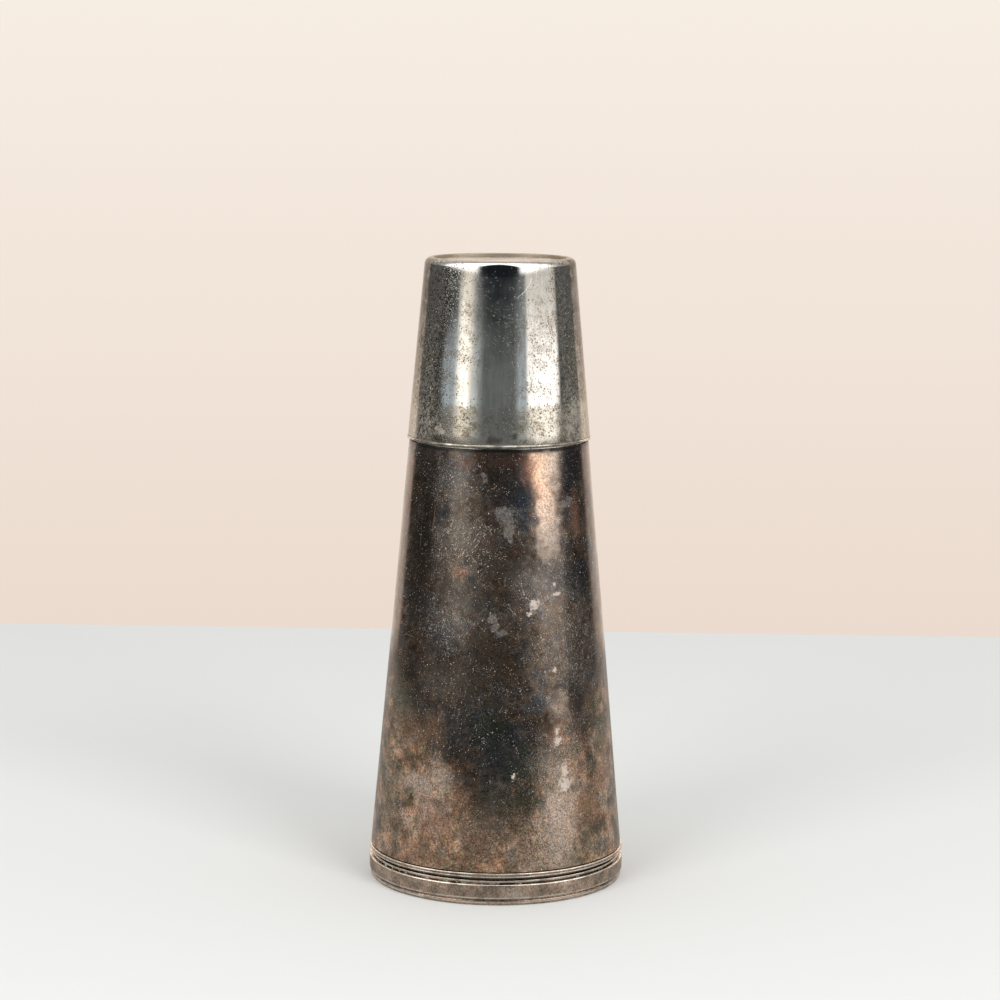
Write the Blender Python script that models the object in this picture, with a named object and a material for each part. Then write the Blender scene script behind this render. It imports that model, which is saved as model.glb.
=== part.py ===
"""Conical silver-plated bar jigger: a 2 oz measure cup that caps a tapered mixing body.

Three pieces come apart by hand. The body stands on a moulded foot and has a stepped neck.
A pierced strainer drops into the neck. The jigger cup is pushed over the neck, mouth down.
Every piece is turned about the Z axis, and the foot stands on z = 0.

Run with: blender --background --python part.py
"""

from math import cos, radians, sin, tau

import bmesh
import bpy
from mathutils import Matrix, Vector

MM = 0.001
SEGMENTS = 64  # flats round every turned piece
SMOOTH_BELOW = 35  # degrees; a sharper corner keeps its edge

# Driving dimensions, in millimetres.
HEIGHT = 165.6  # floor to the crest of the cup's end
SEAM_Z = 118.1  # the lower edge of the cup's mouth
SEAM_GAP = 0.5  # dark line between the cup's mouth and the cone
FOOT_R = 34.0
BODY_FOOT_R = 33.57  # outside of the cone where it meets its bead
BODY_MOUTH_R = 23.65
CUP_MOUTH_R = 24.18
CUP_END_R = 19.75  # the cup's straight side, carried on to the crest
SHEET = 0.7  # thickness of the sheet that the shells are made from
CUP_SHEET = 0.8
LOOSE = 0.3  # gap round a piece that lifts out or off
SOLDERED = 0.2  # gap that stands for a soldered seam
EDGE = 0.3  # bevel of a worn corner
FINE_EDGE = 0.2  # bevel of a crisp corner

# Foot and bead, from the floor up.
FOOT_INNER_R = 31.5
LOWER_BEAD_R = 33.65
LOWER_BEAD_Z = 1.3
GROOVE_R = 33.3
BAND_Z = 1.8
BAND_TOP_Z = 5.6
BAND_SWELL = 0.6  # height over which the band rounds in to its edges
CHANNEL_R = 32.8
FOOT_TOP_Z = 7.2
BEAD_R = 33.95
BEAD_Z = FOOT_TOP_Z + SOLDERED
BEAD_TOP_Z = 8.55
SHELL_Z = BEAD_TOP_Z + SOLDERED
BASE_PLATE_Z = 3.6
BASE_PLATE_RISE = 1.6
BASE_PLATE_SHEET = 0.9
BASE_DISHED = 0.86  # share of the plate's radius that is dished
BASE_SHOULDER = 0.5  # share of the dished radius where the dish flattens
BASE_SHOULDER_DROP = 0.2

# Neck.
SHELL_TOP_Z = SEAM_Z - SEAM_GAP
SKIRT_Z = 108.0
NECK_R = 21.8
NECK_TOP_Z = 131.0

# Strainer.
SLEEVE_R = NECK_R - SHEET - LOOSE
SLEEVE_SHEET = 0.6
SLEEVE_Z = 119.5
SLEEVE_TOP_Z = 136.0
STOP_R = 21.65
STOP_Z = NECK_TOP_Z + LOOSE
STOP_TOP_Z = STOP_Z + 0.9
PLATE_Z = 120.6
PLATE_RISE = 2.4
PLATE_SHEET = 0.7
HOLE_R = 1.15
HOLE_RINGS = ((0.0, 1), (4.6, 6), (9.2, 12), (13.8, 18))  # ring radius, number of holes
HOLE_SIDES = 10
DOME_STEPS = 4  # flats from the plate's centre to its rim

# Cup.
RIM_WIRE_R = 24.35
RIM_WIRE_TOP_Z = SEAM_Z + 0.7
CUP_WALL_Z = RIM_WIRE_TOP_Z + SOLDERED
CREST_RADIUS = 1.3
CREST_INNER_R = 17.5
CREST_DEPTH = 2.4  # height of the folded edge that the end disc is let into
END_RECESS = 0.85
ARC_STEPS = 4
CREST_STEPS = 5


def straight_taper(r_low, z_low, r_high, z_high):
    """The radius at any height of a straight side."""
    slope = (r_high - r_low) / (z_high - z_low)
    return lambda z: r_low + (z - z_low) * slope


body_outside = straight_taper(BODY_FOOT_R, SHELL_Z, BODY_MOUTH_R, SHELL_TOP_Z)
cup_outside = straight_taper(CUP_MOUTH_R, SEAM_Z, CUP_END_R, HEIGHT)


def arc(centre_r, centre_z, radius, start, end, steps=ARC_STEPS):
    """Points (r, z) of an arc between two angles in degrees, counted from the outward direction."""
    angles = (radians(start + (end - start) * i / steps) for i in range(steps + 1))
    return [(centre_r + radius * cos(a), centre_z + radius * sin(a)) for a in angles]


def finish(name, bm, material):
    """Turns a bmesh into a named object with one material, its normals out and its rounds smooth."""
    bmesh.ops.recalc_face_normals(bm, faces=bm.faces)
    mesh = bpy.data.meshes.new(name)
    bm.to_mesh(mesh)
    bm.free()
    mesh.materials.append(material)
    mesh.shade_smooth()
    mesh.set_sharp_from_angle(angle=radians(SMOOTH_BELOW))
    piece = bpy.data.objects.new(name, mesh)
    bpy.context.collection.objects.link(piece)
    return piece


def turned(name, outline, material, origin_z=0.0):
    """A solid of revolution from a closed outline of (r, z) points, with its origin on the axis."""
    bm = bmesh.new()
    rings = []
    for r, z in outline:
        height = (z - origin_z) * MM
        if r == 0:
            rings.append([bm.verts.new((0, 0, height))] * SEGMENTS)
            continue
        turns = (tau * i / SEGMENTS for i in range(SEGMENTS))
        rings.append([bm.verts.new((r * MM * cos(a), r * MM * sin(a), height)) for a in turns])
    for ring, following in zip(rings, rings[1:] + rings[:1]):
        for i in range(SEGMENTS):
            j = (i + 1) % SEGMENTS
            corners = list(dict.fromkeys((ring[i], ring[j], following[j], following[i])))
            if len(corners) > 2:
                bm.faces.new(corners)
    piece = finish(name, bm, material)
    piece.location.z = origin_z * MM
    return piece


def metal(name, colour, roughness):
    """A plain metallic material."""
    material = bpy.data.materials.new(name)
    material.use_nodes = True
    shader = material.node_tree.nodes["Principled BSDF"]
    shader.inputs["Base Color"].default_value = (*colour, 1)
    shader.inputs["Metallic"].default_value = 1
    shader.inputs["Roughness"].default_value = roughness
    return material


# The body, which stands still.


def foot_ring(material):
    """The moulded foot: a lower bead, a scribed groove, a wide band and a channel under the cone."""
    outline = [
        (FOOT_INNER_R, 0),
        (LOWER_BEAD_R - EDGE, 0),
        (LOWER_BEAD_R, EDGE),
        (LOWER_BEAD_R, LOWER_BEAD_Z - EDGE),
        (GROOVE_R, LOWER_BEAD_Z),
        (GROOVE_R, BAND_Z - FINE_EDGE),
        (FOOT_R - FINE_EDGE, BAND_Z),
        (FOOT_R, BAND_Z + BAND_SWELL),
        (FOOT_R, BAND_TOP_Z - BAND_SWELL),
        (FOOT_R - FINE_EDGE, BAND_TOP_Z),
        (CHANNEL_R, BAND_TOP_Z),
        (CHANNEL_R, FOOT_TOP_Z),
        (FOOT_INNER_R, FOOT_TOP_Z),
    ]
    return turned("foot_ring", outline, material)


def base_plate(material):
    """The bottom of the body, dished up so that the foot alone touches the table."""
    rim_r = FOOT_INNER_R - SOLDERED
    flat_r = rim_r * BASE_DISHED
    shoulder_r = flat_r * BASE_SHOULDER
    low = BASE_PLATE_Z
    high = BASE_PLATE_Z + BASE_PLATE_RISE
    shoulder_z = high - BASE_SHOULDER_DROP
    outline = [
        (0, high),
        (shoulder_r, shoulder_z),
        (flat_r, low),
        (rim_r, low),
        (rim_r, low + BASE_PLATE_SHEET),
        (flat_r, low + BASE_PLATE_SHEET),
        (shoulder_r, shoulder_z + BASE_PLATE_SHEET),
        (0, high + BASE_PLATE_SHEET),
    ]
    return turned("base_plate", outline, material)


def base_bead_wire(material):
    """The half-round wire between the foot and the cone."""
    middle = (BEAD_Z + BEAD_TOP_Z) / 2
    radius = (BEAD_TOP_Z - BEAD_Z) / 2
    inner = body_outside(SHELL_Z) - 2 * SHEET
    outline = arc(BEAD_R - radius, middle, radius, -90, 90)
    outline += [(inner, BEAD_TOP_Z), (inner, BEAD_Z)]
    return turned("base_bead_wire", outline, material)


def body_shell(material):
    """The tall cone of sheet metal, open at both ends."""
    outline = [
        (body_outside(SHELL_Z), SHELL_Z),
        (body_outside(SHELL_TOP_Z), SHELL_TOP_Z),
        (body_outside(SHELL_TOP_Z) - SHEET, SHELL_TOP_Z),
        (body_outside(SHELL_Z) - SHEET, SHELL_Z),
    ]
    return turned("body_shell", outline, material)


def neck_collar(material):
    """The sleeve inside the cone's mouth, which steps in and stands up as the neck."""
    skirt_top = body_outside(SHELL_TOP_Z) - SHEET - SOLDERED
    skirt_low = body_outside(SKIRT_Z) - SHEET - SOLDERED
    neck_inside = NECK_R - SHEET
    lip = SHEET / 2
    outline = [
        (skirt_low, SKIRT_Z),
        (skirt_top, SHELL_TOP_Z),
        (skirt_top - EDGE, SEAM_Z),
        (NECK_R + FINE_EDGE, SEAM_Z),
        (NECK_R, SEAM_Z + FINE_EDGE),
    ]
    outline += arc(NECK_R - lip, NECK_TOP_Z - lip, lip, 0, 180)
    outline += [
        (neck_inside, SEAM_Z - SHEET + FINE_EDGE),
        (neck_inside + FINE_EDGE, SEAM_Z - SHEET),
        (skirt_top - SHEET, SEAM_Z - SHEET),
        (skirt_low - SHEET, SKIRT_Z),
    ]
    return turned("neck_collar", outline, material)


# The strainer, which lifts out of the neck.


def strainer_sleeve(material):
    """The plain tube that plugs into the neck and stands above it as a pouring lip."""
    lip = SLEEVE_SHEET / 2
    outline = [(SLEEVE_R - SLEEVE_SHEET, SLEEVE_Z), (SLEEVE_R, SLEEVE_Z)]
    outline += arc(SLEEVE_R - lip, SLEEVE_TOP_Z - lip, lip, 0, 180)
    return turned("strainer_sleeve", outline, material, STOP_Z)


def strainer_stop_wire(material):
    """The half-round wire on the sleeve that rests on the neck's edge."""
    middle = (STOP_Z + STOP_TOP_Z) / 2
    radius = (STOP_TOP_Z - STOP_Z) / 2
    inner = SLEEVE_R + SOLDERED
    outline = arc(STOP_R - radius, middle, radius, -90, 90)
    outline += [(inner, STOP_TOP_Z), (inner, STOP_Z)]
    return turned("strainer_stop_wire", outline, material, STOP_Z)


def hole_cutters(depth):
    """One object that holds a prism for each hole of the strainer, in rings round the axis."""
    bm = bmesh.new()
    for ring_r, count in HOLE_RINGS:
        for i in range(count):
            turn = Matrix.Rotation(tau * i / count, 4, "Z")
            place = Matrix.Translation(turn @ Vector((ring_r * MM, 0, 0)))
            bmesh.ops.create_cone(
                bm,
                cap_ends=True,
                segments=HOLE_SIDES,
                radius1=HOLE_R * MM,
                radius2=HOLE_R * MM,
                depth=depth * MM,
                matrix=place,
            )
    mesh = bpy.data.meshes.new("hole_cutters")
    bm.to_mesh(mesh)
    bm.free()
    cutters = bpy.data.objects.new("hole_cutters", mesh)
    bpy.context.collection.objects.link(cutters)
    cutters.hide_render = True
    cutters.display_type = "WIRE"
    return cutters


def strainer_plate(material):
    """The pierced plate near the foot of the sleeve, domed towards the mouth."""
    rim_r = SLEEVE_R - SLEEVE_SHEET - SOLDERED
    shares = [i / DOME_STEPS for i in range(DOME_STEPS + 1)]
    under = [(rim_r * share, PLATE_RISE * (1 - share**2)) for share in shares]
    outline = [(r, PLATE_Z + rise) for r, rise in under]
    outline += [(r, PLATE_Z + PLATE_SHEET + rise) for r, rise in reversed(under)]
    plate = turned("strainer_plate", outline, material, STOP_Z)
    cutters = hole_cutters(depth=4 * PLATE_RISE)
    cutters.location.z = (PLATE_Z + PLATE_RISE / 2) * MM
    pierced = plate.modifiers.new("holes", "BOOLEAN")
    pierced.operation = "DIFFERENCE"
    pierced.object = cutters
    return plate


# The jigger cup, which pulls off the neck.


def cup_wall(material):
    """The cup's tapered side, folded over at the closed end into a rounded crest."""
    crest_z = HEIGHT - CREST_RADIUS
    outline = [(cup_outside(CUP_WALL_Z), CUP_WALL_Z)]
    outline += arc(cup_outside(crest_z) - CREST_RADIUS, crest_z, CREST_RADIUS, 0, 90, CREST_STEPS)
    outline += [
        (CREST_INNER_R + EDGE, HEIGHT),
        (CREST_INNER_R, HEIGHT - EDGE),
        (CREST_INNER_R, HEIGHT - CREST_DEPTH),
        (cup_outside(HEIGHT - CREST_DEPTH) - CUP_SHEET, HEIGHT - CREST_DEPTH),
        (cup_outside(CUP_WALL_Z) - CUP_SHEET, CUP_WALL_Z),
    ]
    return turned("cup_wall", outline, material, SEAM_Z)


def cup_end_disc(material):
    """The cup's bottom, let into the folded edge below the crest."""
    rim_r = CREST_INNER_R - SOLDERED
    top = HEIGHT - END_RECESS
    outline = [(0, top - CUP_SHEET), (rim_r, top - CUP_SHEET), (rim_r, top), (0, top)]
    return turned("cup_end_disc", outline, material, SEAM_Z)


def cup_rim_wire(material):
    """The heavier wire round the cup's mouth, which sits just above the body's edge."""
    middle = (SEAM_Z + RIM_WIRE_TOP_Z) / 2
    radius = (RIM_WIRE_TOP_Z - SEAM_Z) / 2
    inner = cup_outside(SEAM_Z) - CUP_SHEET
    outline = arc(RIM_WIRE_R - radius, middle, radius, -90, 90)
    outline += [(inner, RIM_WIRE_TOP_Z), (inner, SEAM_Z)]
    return turned("cup_rim_wire", outline, material, SEAM_Z)


def main():
    for old in list(bpy.data.objects):
        bpy.data.objects.remove(old)
    tarnished = metal("tarnished_silver", (0.16, 0.125, 0.105), 0.35)
    bright = metal("bright_silver", (0.62, 0.60, 0.55), 0.22)
    inner = metal("inner_silver", (0.55, 0.52, 0.46), 0.3)
    for make in (foot_ring, base_plate, base_bead_wire, body_shell):
        make(tarnished)
    for make in (neck_collar, strainer_sleeve, strainer_stop_wire, strainer_plate):
        make(inner)
    for make in (cup_wall, cup_end_disc, cup_rim_wire):
        make(bright)


main()
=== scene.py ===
"""Looks of a silver-plated bar jigger: a bright measure cup capping a tall, tarnished body.

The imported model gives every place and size. Each piece here is a finer version of a CAD node,
turned from a rounded outline, with a procedural metal that carries its own tarnish and wear.
Lengths are in millimetres until a mesh is made, and angles round the axis are in degrees,
with 0 at the front (-Y) and +X side positive.
"""

from math import atan2, cos, hypot, pi, radians, sin, tan, tau
from random import Random

import bmesh
import bpy
from mathutils import Matrix, Vector, noise


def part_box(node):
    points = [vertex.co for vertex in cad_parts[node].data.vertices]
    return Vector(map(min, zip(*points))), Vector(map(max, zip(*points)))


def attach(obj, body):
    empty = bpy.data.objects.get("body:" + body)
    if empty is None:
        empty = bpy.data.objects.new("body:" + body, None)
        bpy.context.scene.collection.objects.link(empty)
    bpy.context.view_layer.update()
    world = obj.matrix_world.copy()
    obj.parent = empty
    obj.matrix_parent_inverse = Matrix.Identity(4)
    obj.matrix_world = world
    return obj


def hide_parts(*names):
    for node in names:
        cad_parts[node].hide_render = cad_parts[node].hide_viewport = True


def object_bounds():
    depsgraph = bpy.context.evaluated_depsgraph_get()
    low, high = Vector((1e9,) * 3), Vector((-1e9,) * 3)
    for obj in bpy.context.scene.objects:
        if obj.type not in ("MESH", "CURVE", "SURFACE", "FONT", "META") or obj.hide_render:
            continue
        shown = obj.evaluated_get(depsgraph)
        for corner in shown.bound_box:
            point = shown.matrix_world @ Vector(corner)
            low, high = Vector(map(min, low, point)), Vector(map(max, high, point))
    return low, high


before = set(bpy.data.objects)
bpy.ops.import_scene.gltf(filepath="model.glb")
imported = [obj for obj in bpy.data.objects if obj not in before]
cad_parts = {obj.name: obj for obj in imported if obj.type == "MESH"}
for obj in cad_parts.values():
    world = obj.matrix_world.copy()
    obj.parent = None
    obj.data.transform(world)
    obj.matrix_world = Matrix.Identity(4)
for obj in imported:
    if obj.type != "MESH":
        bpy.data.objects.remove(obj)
cad_low, cad_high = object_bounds()

MM = 0.001
AROUND = 160  # flats round a fine turned piece
LONGEST = 2.5  # longest step along a straight side
SHARP = 50  # an edge that turns more than this many degrees stays sharp

# Wall thicknesses and small shapes that the CAD outlines also use.
SHEET = 0.7
CUP_SHEET = 0.8
SLEEVE_SHEET = 0.6
BASE_SHEET = 0.9
GAP = 0.2
LOWER_BEAD_TOP = 1.3
BAND_LOW = 1.8
BAND_HIGH = 5.6
FOOT_DEPTH = 2.5


def span(node):
    """The lowest and highest point of a CAD node, in millimetres."""
    low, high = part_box(node)
    return low.z / MM, high.z / MM


def radius_at(node, height):
    """The largest radius of a CAD node's vertices at a height, in millimetres."""
    near = 0.05 * MM
    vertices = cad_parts[node].data.vertices
    return max(hypot(v.co.x, v.co.y) for v in vertices if abs(v.co.z - height * MM) < near) / MM


FOOT_LOW, FOOT_HIGH = span("foot_ring")
BEAD_LOW, BEAD_HIGH = span("base_bead_wire")
BODY_LOW, BODY_HIGH = span("body_shell")
NECK_LOW, NECK_HIGH = span("neck_collar")
SLEEVE_LOW, SLEEVE_HIGH = span("strainer_sleeve")
STOP_LOW, STOP_HIGH = span("strainer_stop_wire")
CUP_LOW, CUP_HIGH = span("cup_wall")
RIM_LOW, RIM_HIGH = span("cup_rim_wire")
FOOT_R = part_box("foot_ring")[1].x / MM
BEAD_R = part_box("base_bead_wire")[1].x / MM
BODY_FOOT_R = radius_at("body_shell", BODY_LOW)
BODY_MOUTH_R = radius_at("body_shell", BODY_HIGH)
CUP_MOUTH_R = radius_at("cup_wall", CUP_LOW)
RIM_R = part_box("cup_rim_wire")[1].x / MM
SLEEVE_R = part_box("strainer_sleeve")[1].x / MM


# Outlines and turned pieces.


def rounded(corners, steps=5):
    """Outline points from corners (r, z) or (r, z, radius of the rounding)."""
    points = []
    for i, (r, z, *radius) in enumerate(corners):
        here = Vector((r, z))
        if not radius:
            points.append(here)
            continue
        back = (Vector(corners[i - 1][:2]) - here).normalized()
        on = (Vector(corners[(i + 1) % len(corners)][:2]) - here).normalized()
        half = back.angle(on) / 2
        centre = here + (back + on).normalized() * (radius[0] / sin(half))
        first = here + back * (radius[0] / tan(half)) - centre
        last = here + on * (radius[0] / tan(half)) - centre
        start = atan2(first.y, first.x)
        turn = (atan2(last.y, last.x) - start + pi) % tau - pi
        for k in range(steps + 1):
            angle = start + turn * k / steps
            points.append(centre + Vector((cos(angle), sin(angle))) * radius[0])
    return points


def refined(points):
    """The same closed outline with its long steps divided."""
    fine = []
    for here, following in zip(points, points[1:] + points[:1]):
        count = max(1, round((following - here).length / LONGEST))
        fine += [here.lerp(following, k / count) for k in range(count)]
    return fine


def turned_mesh(name, points, around=AROUND):
    """A closed solid of revolution from a closed outline; points on the axis become one vertex."""
    bm = bmesh.new()
    rings = []
    for r, z in points:
        if r < 1e-6:
            rings.append([bm.verts.new((0, 0, z * MM))] * around)
            continue
        turns = (tau * i / around for i in range(around))
        rings.append([bm.verts.new((r * MM * cos(a), r * MM * sin(a), z * MM)) for a in turns])
    for ring, following in zip(rings, rings[1:] + rings[:1]):
        for i in range(around):
            j = (i + 1) % around
            corners = list(dict.fromkeys((ring[i], ring[j], following[j], following[i])))
            if len(corners) > 2:
                bm.faces.new(corners)
    bmesh.ops.recalc_face_normals(bm, faces=bm.faces)
    mesh = bpy.data.meshes.new(name)
    bm.to_mesh(mesh)
    bm.free()
    return mesh


def hand_worked(mesh, depth, size=22.0, dents=()):
    """Moves a turned mesh in and out a little, as hand-worked sheet is; dents are given one by one."""
    for vertex in mesh.vertices:
        x, y, z = vertex.co / MM
        r = hypot(x, y)
        if r < 1:
            continue
        move = depth * noise.noise(Vector((x, y, z * 0.6)) / size)
        for angle, height, wide, channel_shade in dents:
            centre = Vector((r * sin(radians(angle)), -r * cos(radians(angle)), height))
            far = (Vector((x, y, z)) - centre).length / wide
            move -= channel_shade * max(0.0, 1 - far * far) ** 2
        vertex.co.x += x / r * move * MM
        vertex.co.y += y / r * move * MM


def piece(name, mesh, material, body, node=None):
    """A shown piece: smooth, with its metal, on its body, in place of its CAD node."""
    mesh.materials.clear()
    mesh.materials.append(material)
    mesh.shade_smooth()
    mesh.set_sharp_from_angle(angle=radians(SHARP))
    made = bpy.data.objects.new(name, mesh)
    bpy.context.scene.collection.objects.link(made)
    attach(made, body)
    if node:
        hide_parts(node)
    return made


# Materials.


class Recipe:
    """A metal's node tree, built with short calls. Values and sockets go in, and sockets come out."""

    def __init__(self, name):
        self.material = bpy.data.materials.new(name)
        self.material.use_nodes = True
        self.nodes = self.material.node_tree.nodes
        self.links = self.material.node_tree.links
        self.shader = self.nodes["Principled BSDF"]
        place = self.nodes.new("ShaderNodeTexCoord").outputs["Object"]
        self.place = self.vector("SCALE", place, scale=1 / MM)
        x, y, self.height = self.split(self.place)
        self.angle = self.maths("ARCTAN2", x, self.maths("MULTIPLY", y, -1))
        radius = self.vector("LENGTH", self.join(x, y, 0), value=True)
        self.sheet = self.join(self.maths("MULTIPLY", self.angle, radius), self.height, 0)
        self.radius = radius

    def put(self, socket, value):
        """Links a socket to an input, or sets the input to a number, vector or colour."""
        if isinstance(value, bpy.types.NodeSocket):
            self.links.new(value, socket)
        else:
            socket.default_value = value

    def split(self, vector):
        node = self.nodes.new("ShaderNodeSeparateXYZ")
        self.put(node.inputs[0], vector)
        return node.outputs

    def join(self, x, y, z):
        node = self.nodes.new("ShaderNodeCombineXYZ")
        for socket, value in zip(node.inputs, (x, y, z)):
            self.put(socket, value)
        return node.outputs[0]

    def maths(self, operation, a, b=0.0):
        node = self.nodes.new("ShaderNodeMath")
        node.operation = operation
        self.put(node.inputs[0], a)
        self.put(node.inputs[1], b)
        return node.outputs[0]

    def add(self, a, b):
        return self.maths("ADD", a, b)

    def times(self, a, b):
        return self.maths("MULTIPLY", a, b)

    def less(self, a, b):
        return self.maths("SUBTRACT", a, b)

    def most(self, masks):
        """The strongest of several masks."""
        strongest = masks[0]
        for mask in masks[1:]:
            strongest = self.maths("MAXIMUM", strongest, mask)
        return strongest

    def vector(self, operation, a, b=(0, 0, 0), scale=1.0, value=False):
        node = self.nodes.new("ShaderNodeVectorMath")
        node.operation = operation
        self.put(node.inputs[0], a)
        self.put(node.inputs[1], b)
        self.put(node.inputs[3], scale)
        return node.outputs["Value" if value else "Vector"]

    def fade(self, value, low, high, from_share=0.0, to_share=1.0):
        """A smooth step from one share at low to another at high; low may be above high."""
        node = self.nodes.new("ShaderNodeMapRange")
        node.interpolation_type = "SMOOTHSTEP"
        if low > high:
            low, high, from_share, to_share = high, low, to_share, from_share
        for socket, number in zip(node.inputs, (value, low, high, from_share, to_share)):
            self.put(socket, number)
        return node.outputs["Result"]

    def clouds(self, size, detail=3.0, rough=0.5, stretch=(1, 1, 1), shift=0.0, turn=0.0):
        """Noise with blotches about size mm across, drawn out by stretch and turned about Y."""
        place = self.place
        if turn:
            node = self.nodes.new("ShaderNodeVectorRotate")
            node.rotation_type = "Y_AXIS"
            self.put(node.inputs["Vector"], place)
            node.inputs["Angle"].default_value = radians(turn)
            place = node.outputs[0]
        place = self.vector("DIVIDE", place, tuple(size * s for s in stretch))
        place = self.vector("ADD", place, (shift, -shift, 2 * shift))
        node = self.nodes.new("ShaderNodeTexNoise")
        self.put(node.inputs["Vector"], place)
        self.put(node.inputs["Scale"], 1.0)
        self.put(node.inputs["Detail"], detail)
        self.put(node.inputs["Roughness"], rough)
        return node.outputs["Fac"]

    def specks(self, size, share, reach, shift=0.0):
        """Small separate dots: a share of the cells holds one, with a radius up to reach cells."""
        place = self.vector("ADD", self.vector("SCALE", self.place, scale=1 / size), (shift,) * 3)
        node = self.nodes.new("ShaderNodeTexVoronoi")
        self.put(node.inputs["Vector"], place)
        self.put(node.inputs["Scale"], 1.0)
        pick, big, _ = self.split(node.outputs["Color"])
        chosen = self.maths("LESS_THAN", pick, share)
        size_of = self.fade(big, 0, 1, 0.3 * reach, reach)
        edge = self.less(size_of, node.outputs["Distance"])
        return self.times(chosen, self.fade(edge, 0.0, 0.4 * reach))

    def mix(self, share, a, b, mode="MIX"):
        """Colour a with a share of colour b laid over it, or multiplied into it."""
        node = self.nodes.new("ShaderNodeMix")
        node.data_type = "RGBA"
        node.blend_type = mode
        self.put(node.inputs[0], share)
        for socket, colour in zip(node.inputs[6:8], (a, b)):
            self.put(socket, colour if isinstance(colour, bpy.types.NodeSocket) else (*colour, 1))
        return node.outputs[2]

    def ramp(self, value, *stops):
        """Colours along a value; each stop is (place, colour)."""
        node = self.nodes.new("ShaderNodeValToRGB")
        elements = node.color_ramp.elements
        while len(elements) < len(stops):
            elements.new(0.5)
        for element, (place, colour) in zip(elements, stops):
            element.position = place
            element.color = (*colour, 1)
        self.put(node.inputs[0], value)
        return node.outputs["Color"]

    def away(self, angle, height):
        """How far across and up the side from a place, in millimetres."""
        turn = self.less(self.angle, radians(angle))
        return self.join(self.times(turn, self.radius), self.less(self.height, height), 0)

    def patches(self, places, ragged, soft=0.25):
        """Patches at (angle, height, half width, half height) with ragged edges from a noise."""
        masks = []
        for angle, height, wide, high in places:
            away = self.vector("DIVIDE", self.away(angle, height), (wide, high, 1))
            far = self.vector("LENGTH", away, value=True)
            masks.append(self.fade(self.add(far, ragged), 1 + soft, 1 - soft))
        return self.most(masks)

    def scratches(self, lines):
        """Thin straight lines at (angle, height, length, tilt, width), thinner at their ends."""
        masks = []
        for angle, height, length, tilt, width in lines:
            node = self.nodes.new("ShaderNodeVectorRotate")
            node.rotation_type = "Z_AXIS"
            self.put(node.inputs["Vector"], self.away(angle, height))
            node.inputs["Angle"].default_value = -radians(tilt)
            along, off, _ = self.split(node.outputs[0])
            on = self.fade(self.maths("ABSOLUTE", along), length / 2, length / 4)
            off = self.fade(self.maths("ABSOLUTE", off), width, 0.0)
            masks.append(self.times(on, off))
        return self.most(masks)

    def relief(self, height, depth):
        """A bump from a height of 0 to 1, depth mm deep."""
        node = self.nodes.new("ShaderNodeBump")
        self.put(node.inputs["Height"], height)
        node.inputs["Distance"].default_value = depth * MM
        self.links.new(node.outputs[0], self.shader.inputs["Normal"])

    def shaded(self, colour, light):
        """A colour made darker or lighter by a number round 1."""
        return self.mix(1.0, colour, self.join(light, light, light), "MULTIPLY")

    def done(self, colour, metallic, roughness):
        """Hands over the finished material."""
        for name, value in (("Base Color", colour), ("Metallic", metallic), ("Roughness", roughness)):
            self.put(self.shader.inputs[name], value)
        return self.material


# Places on the body and the cup are (angle, height, half width, half height), and scratches are
# (angle, height, length, tilt, width).

# Tarnish on the body, with one painted reflection among it, laid in this order: (colour, softness, strength,
# places).
BODY_TARNISH_AND_REFLECTION = (
    ((0.080, 0.060, 0.042), 0.8, 0.8, ((-8, 60, 10, 10), (2, 88, 9, 7), (50, 68, 6, 7), (-52, 92, 5, 20))),
    ((0.070, 0.076, 0.084), 0.8, 0.7, ((-27, 110, 6, 5), (-30, 70, 5, 5), (-20, 45, 6, 4), (36, 84, 7, 5))),
    ((0.190, 0.165, 0.135), 0.9, 0.7, ((-26, 96, 6, 4), (-24, 80, 7, 6), (14, 84, 4, 3), (-30, 58, 6, 4))),
    ((0.030, 0.038, 0.052), 0.7, 0.8, ((12, 106, 6, 5), (50, 112, 5, 7), (54, 84, 4, 4), (4, 40, 8, 9))),
    ((0.038, 0.046, 0.032), 0.7, 0.8, ((2, 27, 4, 4), (-4, 46, 5, 5), (14, 36, 6, 6), (14, 27, 4.5, 5))),
    ((0.045, 0.036, 0.032), 0.7, 0.8, ((2, 113, 7, 5), (46, 50, 4, 12), (-48, 100, 3, 14))),
    (
        (0.150, 0.070, 0.052),
        0.9,
        0.5,
        ((6, 115, 9, 1.6), (12, 92, 2.2, 1.4), (-18, 114, 4, 1.6), (-4, 94, 2, 1.6)),
    ),
    ((0.420, 0.200, 0.130), 0.8, 0.8, ((20, 112, 2.6, 3.0), (-21, 86, 1.8, 1.6), (52, 100, 1.6, 5))),
    ((0.780, 0.500, 0.350), 0.6, 0.9, ((27, 113, 2.8, 9.0), (30, 103, 2.4, 5.0))),
    ((0.570, 0.450, 0.375), 0.9, 0.85, ((31, 98, 3.2, 7), (35, 114, 2.8, 10))),
    ((0.360, 0.210, 0.130), 0.8, 0.7, ((-33, 45, 3, 3), (-49, 44, 4, 4), (-17, 27, 2.2, 2), (48, 24, 6, 5))),
    ((0.160, 0.160, 0.115), 0.9, 0.6, ((-57, 50, 6, 7), (-60, 24, 5, 8), (52, 13, 5, 3), (63, 42, 4, 7))),
    # In this group, the patch at 31 degrees and 20 mm high is a painted reflection of the lit floor; the
    # other places are tarnish.
    (
        (0.560, 0.440, 0.360),
        0.8,
        0.8,
        ((-27, 32, 2.6, 3), (-42, 30, 5, 2.5), (31, 20, 4.5, 13), (33, 51, 2.6, 4)),
    ),
    ((0.420, 0.250, 0.180), 0.8, 0.7, ((-28, 21, 5, 4), (-38, 12, 4, 3), (-8, 17, 4, 3), (62, 31, 4, 3))),
    ((0.170, 0.120, 0.080), 0.9, 0.6, ((4, 19, 10, 6), (16, 12, 6, 5), (-22, 12, 5, 3))),
)
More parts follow.
